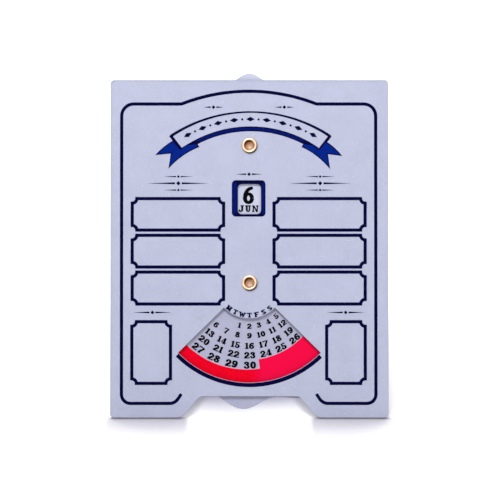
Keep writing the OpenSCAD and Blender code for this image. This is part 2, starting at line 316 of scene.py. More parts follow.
def stamped_metal(name, base, rough):
    """Stamped brass: warm, with fine draw marks, small dents and a little tarnish."""
    n = material(name)
    tarnish = n.ramp(n.noise(420, 5, 0.65), 0.42, 0.75)
    dull = (base[0] * 0.72, base[1] * 0.62, base[2] * 0.5, 1.0)
    colour = n.mix(n.math("MULTIPLY", tarnish, 0.55), base, dull)
    marks = n.noise(1500, 3, 0.7, (1.0, 1.0, 6.0))
    dents = n.noise(700, 2, 0.5)
    height = n.math("ADD", n.math("MULTIPLY", marks, 0.35), dents)
    normal = n.bump(height, 0.05 * MM, 0.35)
    return n.surface(colour, n.ramp(marks, 0.3, 0.75, rough, rough + 0.16), normal, Metallic=1.0)


# The direction that the eyelets' painted light comes from: up, left and out.
EYELET_LIT = (UP * 0.8 - RIGHT * 0.45 + OUT * 0.4).normalized()
COPPER_FROM, COPPER_FULL = 0.7, 1.2
HEAD_FROM, HEAD_FULL = 1.8, 2.2


def eyelet_metal():
    """Rolled brass with painted light and shade: bright where it faces up and left, toward the light, and
    painted dark brown where it faces down, away from it.

    It is coppery and duller in its hollow, where the copper is painted lighter and darker by facing in the
    same way, and plain again at its head behind the boards."""
    n = material("eyelet_brass")
    light_facing = n.facing(EYELET_LIT)
    depth = n.math("SUBTRACT", FACE, n.dot(n.place, OUT))
    tarnish = n.ramp(n.noise(900, 4, 0.65), 0.4, 0.75, 0.0, 0.3)
    gold = n.mix(tarnish, (0.87, 0.65, 0.43, 1.0), (0.7, 0.49, 0.29, 1.0))
    # Painted light and shade by facing: dark brown away from that direction, gold between, and a pale painted
    # highlight toward it; the copper in the hollow is painted lighter and darker the same way.
    colour = n.mix(n.ramp(light_facing, -0.55, -0.1), (0.015, 0.006, 0.002, 1.0), (0.26, 0.12, 0.05, 1.0))
    colour = n.mix(n.ramp(light_facing, -0.12, 0.36), colour, gold)
    colour = n.mix(n.ramp(light_facing, 0.5, 0.95), colour, (0.95, 0.84, 0.68, 1.0))
    copper = n.mix(n.ramp(light_facing, -0.2, 0.6), (0.22, 0.095, 0.045, 1.0), (0.54, 0.35, 0.25, 1.0))
    colour = n.mix(n.ramp(depth, COPPER_FROM * MM, COPPER_FULL * MM), colour, copper)
    colour = n.mix(n.ramp(depth, HEAD_FROM * MM, HEAD_FULL * MM), colour, gold)
    marks = n.noise(2200, 3, 0.7)
    normal = n.bump(marks, 0.03 * MM, 0.3)
    dulled = n.ramp(depth, COPPER_FROM * MM, COPPER_FULL * MM, 0.0, 0.25)
    dull = n.math("ADD", n.ramp(marks, 0.3, 0.75, 0.3, 0.46), dulled)
    return n.surface(colour, dull, normal, Metallic=1.0)


# The second colour of each card is that of its cut edges, darker than its faces as painted shade.
BOARD = card("pressboard", srgb(191, 195, 220), srgb(156, 158, 175))
BACK = card("pressboard_back", srgb(186, 190, 215), srgb(156, 158, 175))
MONTH_CARD = card("month_dial_card", srgb(204, 209, 232), srgb(160, 161, 176), 0.6, 0.7, False)
DATE_CARD = card("date_dial_card", srgb(183, 184, 210), srgb(148, 148, 165), 0.7, 0.7, False)
FIBRE = card("fibre_washer", srgb(128, 84, 62), srgb(112, 70, 50), 0.5, 0.8)
BRASS = stamped_metal("brass", (0.93, 0.74, 0.47, 1.0), 0.2)
EYELET = eyelet_metal()
NAVY = ink("navy_ink", srgb(0, 0, 53))
BLUE = ink("blue_ink", srgb(0, 19, 104))
RIBBON_BLUE = ink("ribbon_ink", srgb(0, 35, 134))
BLACK = ink("black_ink", srgb(1, 1, 3))
RED = ink("red_ink", srgb(248, 0, 38), 0.42, srgb(254, 11, 72))

FINISH = {"board": BOARD, "wheel_card": DATE_CARD, "brass": BRASS, "fibre": FIBRE}

# ---------------------------------------------------------------- the CAD pieces keep their shape

for node in NODES.values():
    slot_name = node.data.materials[0].name.split(".")[0]
    node.data.materials[0] = FINISH[slot_name]
for name in ("back_board", "easel_leg"):
    NODES[name].data.materials[0] = BACK
NODES["month_wheel"].data.materials[0] = MONTH_CARD

ROUNDED = {
    "front_board": 0.2, "back_board": 0.18, "left_core": 0.1, "right_core": 0.1, "easel_leg": 0.2,
    "month_wheel": 0.12, "date_wheel": 0.12, "hinge_plate": 0.12, "hinge_leaf": 0.12, "hinge_pin": 0.12,
    "upper_spacer": 0.1, "lower_spacer": 0.1,
}
ROUND_FROM_ANGLE = 50
WELD_WITHIN = 0.002
# These two have slivers of triangles in their faces, which would hold every edge's rounding back.
BOARDS = ("front_board", "back_board")
for name, width in ROUNDED.items():
    weld = NODES[name].modifiers.new("weld", "WELD")
    weld.merge_threshold = WELD_WITHIN * MM
    bevel = NODES[name].modifiers.new("bevel", "BEVEL")
    bevel.width = width * MM
    bevel.segments = 2
    bevel.limit_method = "ANGLE"
    bevel.angle_limit = math.radians(ROUND_FROM_ANGLE)
    bevel.harden_normals = True
    bevel.use_clamp_overlap = name not in BOARDS

# ---------------------------------------------------------------- flat shapes, in mm
# A shape is a list of polygons, which may overlap, and a polygon is a list of points.


def arc(cx, cy, rx, ry, start, end, steps=None):
    """Points of an ellipse's arc, between two angles in degrees."""
    steps = steps or max(4, int(abs(end - start) / 12))
    turns = [math.radians(start + (end - start) * i / steps) for i in range(steps + 1)]
    return [(cx + rx * math.cos(a), cy + ry * math.sin(a)) for a in turns]


def bezier(a, b, c, d, steps=10):
    """Points of the cubic curve from a to d, drawn toward b and c on its way."""
    out = []
    for i in range(steps + 1):
        t = i / steps
        w = ((1 - t) ** 3, 3 * t * (1 - t) ** 2, 3 * t * t * (1 - t), t ** 3)
        out.append(tuple(sum(k * p[axis] for k, p in zip(w, (a, b, c, d))) for axis in (0, 1)))
    return out


def rect(x0, y0, x1, y1):
    """A rectangle between two corners."""
    return [[(x0, y0), (x1, y0), (x1, y1), (x0, y1)]]


def slant(x0, y0, x1, y1, width):
    """A sloping stroke whose ends are cut level."""
    h = width / 2
    return [[(x0 - h, y0), (x0 + h, y0), (x1 + h, y1), (x1 - h, y1)]]


def disc(x, y, rx, ry=None, steps=16):
    """A filled circle or ellipse."""
    return [arc(x, y, rx, ry or rx, 0, 360, steps)[:-1]]


SHARPEST_MITRE = 0.35


def stroke(path, width_of, closed=False):
    """Four-sided pieces of a line along a path.

    width_of gives the width from the line's direction, as tx and ty, and the part of the path behind it."""
    count = len(path)
    sides = []
    for i, (x, y) in enumerate(path):
        before = path[i - 1] if i or closed else None
        after = path[(i + 1) % count] if i < count - 1 or closed else None
        legs = []
        for p, q in ((before, (x, y)), ((x, y), after)):
            if p is None or q is None:
                continue
            length = math.hypot(q[0] - p[0], q[1] - p[1])
            if length > 1e-9:
                legs.append(((q[0] - p[0]) / length, (q[1] - p[1]) / length))
        tx = sum(leg[0] for leg in legs)
        ty = sum(leg[1] for leg in legs)
        size = math.hypot(tx, ty)
        tx, ty = tx / size, ty / size
        lean = max(SHARPEST_MITRE, abs(tx * legs[0][0] + ty * legs[0][1]))
        half = width_of(tx, ty, i / max(1, count - 1)) / 2 / lean
        sides.append(((x - ty * half, y + tx * half), (x + ty * half, y - tx * half)))
    pairs = list(zip(sides, sides[1:])) + ([(sides[-1], sides[0])] if closed else [])
    return [[a[1], b[1], b[0], a[0]] for a, b in pairs]


def line(path, width, closed=False):
    """A line of one width along a path."""
    return stroke(path, lambda tx, ty, part: width, closed)


def pen(path, thick, thin):
    """A broad pen's stroke: thick where it runs up or down and thin where it runs across."""
    return stroke(path, lambda tx, ty, part: math.hypot(ty * thick, tx * thin))


def is_in(x, y, poly):
    """Whether a polygon winds round the point."""
    turns = 0
    for (ax, ay), (bx, by) in zip(poly, poly[1:] + poly[:1]):
        side = (bx - ax) * (y - ay) - (x - ax) * (by - ay)
        if ay <= y < by and side > 0:
            turns += 1
        elif by <= y < ay and side < 0:
            turns -= 1
    return turns != 0


def joined(polys, holes=()):
    """The area that the polygons cover, less the holes, as points and triangles."""
    points, edges = [], []
    for poly in [*polys, *holes]:
        first = len(points)
        points += [Vector(p) for p in poly]
        edges += [(first + i, first + (i + 1) % len(poly)) for i in range(len(poly))]
    made = geometry.delaunay_2d_cdt(points, edges, [], 0, 1e-5)
    corners, triangles = made[0], made[2]
    kept = []
    for triangle in triangles:
        x = sum(corners[i].x for i in triangle) / 3
        y = sum(corners[i].y for i in triangle) / 3
        if any(is_in(x, y, poly) for poly in polys) and not any(is_in(x, y, hole) for hole in holes):
            kept.append(tuple(triangle))
    used = sorted({i for t in kept for i in t})
    renumber = {old: new for new, old in enumerate(used)}
    return [(corners[i].x, corners[i].y) for i in used], [tuple(renumber[i] for i in t) for t in kept]


class Print:
    """Ink areas of one colour on one flat face, made into one thin closed mesh."""

    def __init__(self):
        self.points = []
        self.triangles = []

    def put(self, shape, u=0.0, v=0.0, size=1.0, turn=0.0):
        """Adds a joined shape: scaled, turned by an angle in degrees and moved."""
        first = len(self.points)
        c, s = math.cos(math.radians(turn)) * size, math.sin(math.radians(turn)) * size
        self.points += [(u + x * c - y * s, v + x * s + y * c) for x, y in shape[0]]
        self.triangles += [tuple(first + i for i in t) for t in shape[1]]
        return self

    def make(self, name, body, finish, depth=0.0, thick=0.02):
        """The piece: it stands a thickness out of the face at that depth and half as much below it."""
        front = [at(u, v, depth - thick) for u, v in self.points]
        rear = [at(u, v, depth + thick * 0.5) for u, v in self.points]
        shift = len(front)
        directed = {(t[i], t[(i + 1) % 3]) for t in self.triangles for i in range(3)}
        rims = [(a, b) for a, b in directed if (b, a) not in directed]
        faces = list(self.triangles)
        faces += [tuple(shift + i for i in reversed(t)) for t in self.triangles]
        faces += [(b, a, a + shift, b + shift) for a, b in sorted(rims)]
        return piece(name, front + rear, faces, body, finish)


def piece(name, points, faces, body, finish, smooth=False):
    """A visible piece that rides on a body."""
    mesh = bpy.data.meshes.new(name)
    mesh.from_pydata(points, [], faces)
    mesh.materials.append(finish)
    mesh.polygons.foreach_set("use_smooth", [smooth] * len(faces))
    mesh.update()
    made = bpy.data.objects.new(name, mesh)
    bpy.context.scene.collection.objects.link(made)
    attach(made, body)
    return made


# ---------------------------------------------------------------- the dials' figures and letters
# Each is one unit high and all sizes are shares of that. w is the width, k and t are the thick and
# thin strokes, s is the slab serifs' height and ball is the radius of the dots that end some strokes.


def turned_over(polys, w):
    """A shape turned by half a turn."""
    return [[(w - x, 1 - y) for x, y in poly] for poly in polys]


def figure(char, w, k, t, s, ball):
    """A digit's shape and width."""
    cx, rx = w / 2, (w - k) / 2

    def dot(x, y):
        return disc(x, y, ball, ball * 0.95) if ball else []

    if char == "0":
        return pen(arc(cx, 0.5, rx, 0.5 - t / 2, 0, 360), k, t), w
    if char == "1":
        w1 = w * 0.68
        x = w1 * 0.54
        tip = x - k * 0.5 - 0.13
        flag = [[(x - k / 2, 0.84), (x, 0.8), (x, 1), (x - k * 0.1, 1), (tip, 0.87), (tip, 0.76)]]
        base = rect(0.02, 0, w1, s) if s else []
        return rect(x - k / 2, 0, x + k / 2, 1) + flag + base, w1
    if char == "2":
        bowl = arc(cx, 0.725 - t / 2, rx, 0.275, 160, -20)
        tail = bezier(bowl[-1], (bowl[-1][0] - 0.06, 0.42), (k * 0.55, 0.3), (k * 0.5, 0.1))
        tip = [[(w - 0.11, 0.1), (w, 0.1), (w + 0.01, 0.3), (w - 0.06, 0.3)]] if s else []
        strokes = pen(bowl, k, t) + pen(tail, k, t * 1.4)
        return strokes + rect(0, 0, w, 0.17) + tip + dot(ball + 0.02, 0.72), w
    if char == "3":
        top = arc(cx - 0.01, 0.735, rx * 0.86, 0.265 - t / 2, 150, -88)
        low = arc(cx, 0.285, rx, 0.285 - t / 2, 88, -152)
        ends = dot(ball + 0.05, 0.77) + dot(ball + 0.01, 0.24)
        return pen(top, k, t) + pen(low, k, t) + rect(cx - 0.14, 0.47, cx + 0.02, 0.47 + t * 1.1) + ends, w
    if char == "4":
        x = w * 0.64
        base = rect(x - k / 2 - 0.11, 0, x + k / 2 + 0.1, s) if s else []
        stem = rect(x - k / 2, 0, x + k / 2, 1)
        return slant(0.07, 0.3, x - 0.02, 1, 0.15) + rect(0, 0.21, w, 0.35) + stem + base, w
    if char == "5":
        bowl = arc(cx - 0.01, 0.325, rx, 0.325 - t / 2, 132, -150)
        flag = [[(0.11, 0.82), (w - 0.12, 0.82), (w - 0.05, 1), (0.11, 1)]]
        return pen(bowl, k, t) + flag + rect(0.11, 0.48, 0.11 + t * 1.2, 0.9) + dot(ball + 0.01, 0.26), w
    if char in "69":
        bowl = arc(cx, 0.33, rx, 0.33 - t / 2, 0, 360)
        if ball:
            stem = arc(cx + 0.08, 0.4, rx + 0.08, 0.6 - t / 2, 180, 55)
            tip = dot(w - ball - 0.04, 0.82)
        else:
            stem = arc(cx + 0.3 * w, 0.36, rx + 0.3 * w, 0.64 - t / 2, 180, 94)
            tip = disc(stem[-1][0], stem[-1][1], t * 0.5)
        polys = pen(bowl, k, t) + pen(stem, k, t) + tip
        return (polys if char == "6" else turned_over(polys, w)), w
    if char == "7":
        serif = rect(0, 0.66, 0.1, 1) if s else []
        leg = bezier((w - 0.1, 0.9), (w * 0.72, 0.62), (w * 0.42, 0.42), (w * 0.4, 0.0))
        return rect(0, 0.82, w, 1) + serif + stroke(leg, lambda tx, ty, part: k * (0.62 + 0.42 * part)), w
    top = arc(cx, 0.752, rx * 0.86, 0.248 - t / 2, 0, 360)
    low = arc(cx, 0.28, rx, 0.28 - t / 2, 0, 360)
    return pen(top, k, t) + pen(low, k, t), w


def letter(char, w, k, t, s):
    """A capital's shape and width. e is how far its serifs reach past a stroke."""
    e = 0.09
    x0 = e + k / 2
    hair = t * 1.35

    def serif(x, y, width=k, reach_right=e):
        low = 0 if y == 0 else 1 - s
        return rect(x - width / 2 - e, low, x + width / 2 + reach_right, low + s)

    def post(x, width=k, low=0.0, high=1.0):
        return rect(x - width / 2, low, x + width / 2, high)

    def bowl(bottom, top, right):
        mid = (bottom + top) / 2
        flat = min(w * 0.5, right - k / 2 - 0.12)
        rx, ry = right - k / 2 - flat, (top - bottom) / 2 - t / 2
        path = [(x0, top - t / 2), *arc(flat, mid, rx, ry, 90, -90), (x0, bottom + t / 2)]
        return pen(path, k, t)

    stem = post(x0) + serif(x0, 0) + serif(x0, 1)
    if char == "A":
        feet = serif(0.15, 0, hair) + serif(w - 0.17, 0, k * 0.9)
        legs = slant(0.15, 0, w * 0.5, 1, hair) + slant(w - 0.17, 0, w * 0.5, 1, k * 1.05)
        return legs + rect(0.22, 0.26, w - 0.22, 0.26 + t) + feet, w
    if char == "B":
        return stem + bowl(0.5 - t / 2, 1, w - 0.06) + bowl(0, 0.5 + t / 2, w), w
    if char in "CG":
        ring = arc(w * 0.52, 0.5, w * 0.52 - k / 2, 0.5 - t / 2, 48, 312)
        end = rect(w - 0.11, 0.64, w - 0.01, 0.98)
        if char == "G":
            end += rect(w - k - 0.03, 0.06, w - 0.03, 0.46) + rect(w - k - 0.13, 0.4, w + 0.05, 0.4 + s)
        return pen(ring, k, t) + end, w
    if char == "D":
        return stem + bowl(0, 1, w), w
    if char in "EF":
        arms = rect(x0, 1 - s, w, 1) + rect(w - 0.1, 0.7, w, 1)
        arms += rect(x0, 0.5 - t / 2, w * 0.72, 0.5 + t / 2) + rect(w * 0.68, 0.37, w * 0.77, 0.63)
        if char == "E":
            arms += rect(x0, 0, w, s) + rect(w - 0.1, 0, w, 0.3)
        return stem + arms, w
    if char == "J":
        x = w - e - k / 2
        hook = arc(x - 0.24, 0.27, 0.24, 0.27 - t / 2, 0, -160)
        return post(x, k, 0.27) + serif(x, 1) + pen(hook, k, t * 1.3) + disc(x - 0.41, 0.27, 0.11), w
    if char == "L":
        return stem + rect(x0, 0, w, s) + rect(w - 0.11, 0, w, 0.36), w
    if char == "M":
        wide = w * 1.22
        left, right = e + hair / 2, wide - e - k / 2
        mid = wide * 0.48
        legs = post(left, hair) + post(right)
        legs += serif(left, 0, hair) + serif(right, 0) + serif(left, 1, hair) + serif(right, 1)
        return legs + slant(mid, 0.1, left + 0.04, 1, k * 0.8) + slant(mid, 0.1, right - 0.06, 1, t), wide
    if char == "N":
        wide, fine = w * 1.12, hair * 0.8
        left, right = e + fine / 2, wide - e - fine / 2
        legs = post(left, fine) + post(right, fine)
        legs += serif(left, 0, fine) + serif(right, 1, fine) + serif(left, 1, fine, 0)
        return legs + slant(right - 0.02, 0, left + 0.02, 1, k * 0.82), wide
    if char == "O":
        return pen(arc(w / 2, 0.5, (w - k) / 2, 0.5 - t / 2, 0, 360), k, t), w
    if char in "PR":
        shape = stem + bowl(0.42, 1, w - 0.02)
        if char == "R":
            shape += slant(w - 0.15, 0, w * 0.5, 0.48, k) + rect(w - 0.2, 0, w + 0.04, s)
        return shape, w
    if char == "S":
        rx = (w - k) / 2
        top = arc(w / 2, 0.74, rx * 0.94, 0.26 - t / 2, 38, 250)
        low = arc(w / 2, 0.265, rx, 0.265 - t / 2, 70, -142)
        spine = line([top[-1], low[0]], k * 0.85)
        ends = rect(w - 0.13, 0.66, w - 0.04, 0.97) + rect(0.02, 0.03, 0.11, 0.36)
        return pen(top, k, t) + pen(low, k, t) + spine + ends, w
    if char == "T":
        x = w / 2
        bars = rect(0, 1 - s, w, 1) + rect(0, 0.68, 0.1, 1) + rect(w - 0.1, 0.68, w, 1)
        return post(x) + serif(x, 0) + bars, w
    if char == "U":
        left, right = e + k / 2, w - e - hair / 2
        mid, rx = (left + right) / 2, (right - left) / 2
        cup = stroke(arc(mid, 0.34, rx, 0.34 - t / 2, 180, 360),
                     lambda tx, ty, part: math.hypot(ty * (k + (hair - k) * part), tx * t * 1.2))
        posts = post(left, k, 0.34) + post(right, hair, 0.34)
        return posts + serif(left, 1) + serif(right, 1, hair) + cup, w
    if char == "V":
        strokes = slant(w / 2, 0, 0.17, 1, k * 1.05) + slant(w / 2, 0, w - 0.13, 1, hair)
        return strokes + serif(0.17, 1) + serif(w - 0.13, 1, hair), w
    if char == "W":
        wide = w * 1.36
        a, b, c = wide * 0.32, wide * 0.52, wide * 0.7
        broad = k * 0.85
        strokes = slant(a, 0, 0.17, 1, broad) + slant(a, 0, b, 0.86, t)
        strokes += slant(c, 0, b, 0.86, broad) + slant(c, 0, wide - 0.13, 1, t)
        return strokes + serif(0.17, 1) + serif(wide - 0.13, 1, hair), wide
    slopes = slant(w / 2, 0.42, 0.17, 1, k) + slant(w / 2, 0.42, w - 0.14, 1, hair)
    return slopes + post(w / 2, k, 0, 0.46) + serif(w / 2, 0) + serif(0.17, 1) + serif(w - 0.14, 1, hair), w


# The four sizes of type. gap is the space between two characters.
FACES = {
    "date": dict(w=0.84, k=0.35, t=0.21, s=0.175, ball=0.165, gap=0.07),
    "month": dict(w=0.63, k=0.23, t=0.18, s=0.0, ball=0.0, gap=0.09),
    "word": dict(w=0.82, k=0.3, t=0.17, s=0.18, ball=0.0, gap=0.16),
    "day": dict(w=0.96, k=0.34, t=0.235, s=0.22, ball=0.0, gap=0.2),
}
made_glyphs = {}


def glyph(char, face):
    """A character's joined shape and width, made once for each face."""
    if (char, face) not in made_glyphs:
        f = FACES[face]
        if char.isdigit():
            polys, width = figure(char, f["w"], f["k"], f["t"], f["s"], f["ball"])
        else:
            polys, width = letter(char, f["w"], f["k"], f["t"], f["s"])
        made_glyphs[char, face] = (joined(polys), width)
    return made_glyphs[char, face]


def write(target, text, face, size, radius, angle, centre_v, stretch=1.0, centre_u=0.0):
    """Sets text round a centre, with its top to the centre.

    Its middle lies at a radius, and at an angle from straight down."""
    glyphs = [glyph(char, face) for char in text]
    gap = FACES[face]["gap"]
    total = sum(width for _, width in glyphs) + gap * (len(glyphs) - 1)
    turn = math.radians(angle)
    right = (math.cos(turn), math.sin(turn))
    upward = (-math.sin(turn), math.cos(turn))
    mid = (centre_u + radius * math.sin(turn), centre_v - radius * math.cos(turn))
    x = -total / 2
    for (points, triangles), width in glyphs:
        shape = ([(px * stretch, py) for px, py in points], triangles)
        along, rise = x * stretch * size, -0.5 * size
        target.put(shape, mid[0] + right[0] * along + upward[0] * rise,
                   mid[1] + right[1] * along + upward[1] * rise, size, angle)
        x += width + gap


# ---------------------------------------------------------------- the date dial
# It has 28 columns: 13 for a month of 30 days, 13 for one of 31 and two blank ones. A month's seven
# weekdays are seven columns side by side, and any seven of its 13 make a whole page. Its first six
# columns, from day 2 to day 7, start a row lower, and its last seven, from day 1 to day 7, at the top.

COLUMNS = 28
STEP = 360 / COLUMNS
ROW_R = (21.9, 26.7, 31.8, 36.5, 41.5, 46.5)
ROW_SIZE = (2.7, 2.85, 3.15, 3.3, 3.6, 3.85)
# The red zone starts here under the last row of a column, and it starts under this row in a blank one.
ROW_END = (24.5, 29.5, 34.4, 39.0, 43.7, 48.6)
BLANK_LAST = 3
ZONE_R = 53.5
MIDDLE_SHOWN = 7
# The prints aren't quite true to the pivot: turned by degrees, and set aside by mm.
DATE_NUDGE, BLACK_SHIFT = 0.95, -0.45
RED_TURN, RED_SHIFT = 1.2, -1.2


def date_columns():
    """Each column's first day, the row of that day and the month's last day. A blank column is None."""
    columns = []
    for last_day in (30, 31):
        columns += [(first, 1, last_day) for first in range(2, 8)]
        columns += [(first, 0, last_day) for first in range(1, 8)]
        columns.append(None)
    return columns


date_ink = Print()
zone = []
for index, column in enumerate(date_columns()):
    angle = (index - MIDDLE_SHOWN) * STEP + DATE_NUDGE
    row = BLANK_LAST
    if column:
        first, top_row, last_day = column
        for row, day in enumerate(range(first, last_day + 1, 7), start=top_row):
            write(date_ink, str(day), "date", ROW_SIZE[row], ROW_R[row], angle, DATE_V, 1.0, BLACK_SHIFT)
    start, end = angle + RED_TURN - STEP / 2 - 90, angle + RED_TURN + STEP / 2 - 90
    inner = arc(0, DATE_V, ROW_END[row], ROW_END[row], start, end, 6)
    outer = arc(0, DATE_V, ZONE_R, ZONE_R, end, start, 6)
    zone.append(inner + outer)
DATE_D = depth_of("date_wheel")
Print().put(joined(zone), RED_SHIFT).make("date_dial_red_zone", "date_dial", RED, DATE_D, 0.015)
date_ink.make("date_dial_figures", "date_dial", BLACK, DATE_D, 0.025)

# ---------------------------------------------------------------- the month dial

MONTHS = ("JAN", "FEB", "MAR", "APR", "MAY", "JUN", "JUL", "AUG", "SEP", "OCT", "NOV", "DEC")
MONTH_SHOWN = 6
FIGURE_SIZE, FIGURE_R = 8.9, 24.65
WORD_SIZE, WORD_R = 3.35, 31.35
# This print is turned and set low in the same way. Numbers of two digits and words with an M are
# drawn narrower, so that they stay inside the window.
MONTH_NUDGE, MONTH_DROP = -1.0, 0.45
month_ink = Print()
month_centre = MONTH_V - MONTH_DROP
for number, word in enumerate(MONTHS, start=1):
    angle = (number - MONTH_SHOWN) * 360 / len(MONTHS) + MONTH_NUDGE
    figure_width = 1.0 if number < 10 else 0.86
    word_width = 0.98 if "M" in word else 1.07
    write(month_ink, str(number), "month", FIGURE_SIZE, FIGURE_R, angle, month_centre, figure_width)
    write(month_ink, word, "word", WORD_SIZE, WORD_R, angle, month_centre, word_width)
month_ink.make("month_dial_figures", "month_dial", BLACK, depth_of("month_wheel"), 0.025)

# ---------------------------------------------------------------- the board's printed lines

LINE = 1.62
EDGE_L, EDGE_R = -64.35, 63.6
TOP_V, BOTTOM_V = 157.9, 7.2
TOP_R, BOTTOM_R = 6, 4.5
ARCH_X, ARCH_HALF, ARCH_TOP = -0.2, 34.0, 164.33
# The border ends beside the cut-out, where it curls up to this height. Its two curls mirror each
# other about this place.
CURL_V, CURL_MIDDLE = 11.95, -0.3
LEFT_PANEL, RIGHT_PANEL = (-59.0, -13.0), (12.4, 58.25)
PANEL_ROWS = ((94.35, 110.2), (75.75, 91.7), (57.15, 73.2))
LOW_PANELS = ((-59.15, -39.7), (38.85, 58.25))
LOW_ROW = (17.25, 48.25)
PANEL_BITE = 2.3
FAN_LINE, FAN_LINE_R = 2.0, 51.4
FAN_LINE_FROM, FAN_LINE_TO = -45.0, 44.1


def arch(half, base, peak, centre=0.0, steps=28):
    """Points of the circle's arc from left to right that rises from base to peak over a half-width."""
    rise = peak - base
    radius = (half * half + rise * rise) / (2 * rise)
    sweep = math.degrees(math.asin(half / radius))
    return arc(centre, peak - radius, radius, radius, 90 + sweep, 90 - sweep, steps)


def border():
    """The border line, from one curl beside the cut-out round the board to the other."""
    curl = bezier((-39.4, BOTTOM_V), (-36.6, BOTTOM_V + 0.6), (-35.8, CURL_V - 2.4), (-34.3, CURL_V), 8)
    path = curl[::-1]
    path += arc(EDGE_L + BOTTOM_R, BOTTOM_V + BOTTOM_R, BOTTOM_R, BOTTOM_R, 270, 180, 7)
    path += arc(EDGE_L + TOP_R, TOP_V - TOP_R, TOP_R, TOP_R, 180, 90, 8)
    path += arch(ARCH_HALF, TOP_V, ARCH_TOP, ARCH_X)
    path += arc(EDGE_R - TOP_R, TOP_V - TOP_R, TOP_R, TOP_R, 90, 0, 8)
    path += arc(EDGE_R - BOTTOM_R, BOTTOM_V + BOTTOM_R, BOTTOM_R, BOTTOM_R, 0, -90, 7)
    path += [(2 * CURL_MIDDLE - x, y) for x, y in curl]
    return line(path, LINE)


def panel(u0, v0, u1, v1):
    """A panel's outline whose corners are bitten in by quarter circles."""
    path = []
    for cx, cy, start in ((u0, v0, 90), (u1, v0, 180), (u1, v1, 270), (u0, v1, 360)):
        path += arc(cx, cy, PANEL_BITE, PANEL_BITE, start, start - 90, 6)
    return line(path, LINE, closed=True)


board_ink = Print()
board_ink.put(joined(border()))
for bottom, top in PANEL_ROWS:
    for left, right in (LEFT_PANEL, RIGHT_PANEL):
        board_ink.put(joined(panel(left, bottom, right, top)))
for left, right in LOW_PANELS:
    board_ink.put(joined(panel(left, LOW_ROW[0], right, LOW_ROW[1])))
fan_line = arc(0, DATE_V, FAN_LINE_R, FAN_LINE_R, FAN_LINE_FROM - 90, FAN_LINE_TO - 90, 48)
board_ink.put(joined(line(fan_line, FAN_LINE)))
board_ink.make("board_lines", "board", NAVY)

WEEKDAYS = "MTWTFSS"
WEEKDAY_SIZE, WEEKDAY_R = 2.45, 16.3
days = Print()
for index, char in enumerate(WEEKDAYS):
    write(days, char, "day", WEEKDAY_SIZE, WEEKDAY_R, (index - len(WEEKDAYS) // 2) * STEP, DATE_V)
days.make("weekday_letters", "board", NAVY)

# ---------------------------------------------------------------- the month window's frame


WINDOW_V = MONTH_V - 27.05
WINDOW = (-5.8, WINDOW_V - 7.55, 5.8, WINDOW_V + 7.55)
FRAME = (-8.85, WINDOW_V - 8.8, 8.1, WINDOW_V + 9.5)
WINDOW_R, INK_GAP = 2.0, 0.08
# The frame's upright sides are a lighter blue, in two streaks with a navy edge.
STREAKS = ((FRAME[0] + 0.45, WINDOW[0] - 0.5), (WINDOW[2] + 0.45, FRAME[2] - 0.5))
STREAK_END, STREAK_R = 1.2, 0.45
OVER_NAVY = 0.03


def rounded_box(u0, v0, u1, v1, r, steps=8):
    path = []
    for cx, cy, start in (
        (u1 - r, v1 - r, 0), (u0 + r, v1 - r, 90), (u0 + r, v0 + r, 180), (u1 - r, v0 + r, 270),
    ):
        path += arc(cx, cy, r, r, start, start + 90, steps)
    return path


hole = rounded_box(
    WINDOW[0] - INK_GAP, WINDOW[1] - INK_GAP, WINDOW[2] + INK_GAP, WINDOW[3] + INK_GAP, WINDOW_R + INK_GAP)
surround = Print().put(joined([rounded_box(*FRAME, WINDOW_R)], [hole]))
surround.make("month_window_frame", "board", NAVY)
streaks = Print()
for u0, u1 in STREAKS:
    streaks.put(joined([rounded_box(u0, FRAME[1] + STREAK_END, u1, FRAME[3] - STREAK_END, STREAK_R, 4)]))
streaks.make("month_window_streaks", "board", BLUE, thick=OVER_NAVY)

# ---------------------------------------------------------------- the ribbon

# The band's top line, and the top and the foot of the dark strip below it, are arcs.
RIBBON_U = 0.5
TOP_ARC = dict(half=40.2, base=141.6, peak=153.85)
BAND_TOP = dict(half=35.0, base=135.4, peak=146.6)
BAND_LOW = dict(half=26.5, base=137.7, peak=144.15)
END_LINE, END_LINE_W = ((40.3, 142.0), (34.9, 135.0)), 1.5
TOP_LINE_THIN, TOP_LINE_MORE = 0.8, 0.6
TAIL_NAVY, STRIP_NAVY_TOP, STRIP_NAVY_LOW = 0.5, 0.62, 0.55
TAIL_ROOT, TAIL_L = 26.0, 20.8


def side(points, mirror):
    """Points given from the ribbon's middle line, for its right side, or its left side if mirrored."""
    return [(RIBBON_U + (-x if mirror else x), y) for x, y in points]


def inset(poly, width):
    """The polygon drawn in by a width, whichever way round it runs."""
    area = sum(ax * by - bx * ay for (ax, ay), (bx, by) in zip(poly, poly[1:] + poly[:1]))
    way = 1 if area > 0 else -1
    out = []
    for i, (x, y) in enumerate(poly):
        px, py = poly[i - 1]
        qx, qy = poly[(i + 1) % len(poly)]
        a = math.hypot(x - px, y - py)
        b = math.hypot(qx - x, qy - y)
        n1 = (-(y - py) / a * way, (x - px) / a * way)
        n2 = (-(qy - y) / b * way, (qx - x) / b * way)
        scale = width / max(0.25, 1 + n1[0] * n2[0] + n1[1] * n2[1])
        out.append((x + (n1[0] + n2[0]) * scale, y + (n1[1] + n2[1]) * scale))
    return out


upper = bezier((38.2, 139.5), (42.4, 136.8), (44.9, 134.3), (46.8, 132.0), 6)
lower = bezier((40.5, 125.2), (36.6, 129.8), (31.6, 133.8), (25.75, 136.2), 8)
tail = [*upper, (39.4, 132.8), *lower, (26.85, 138.1), (31.4, 137.6), (34.9, 135.3)]


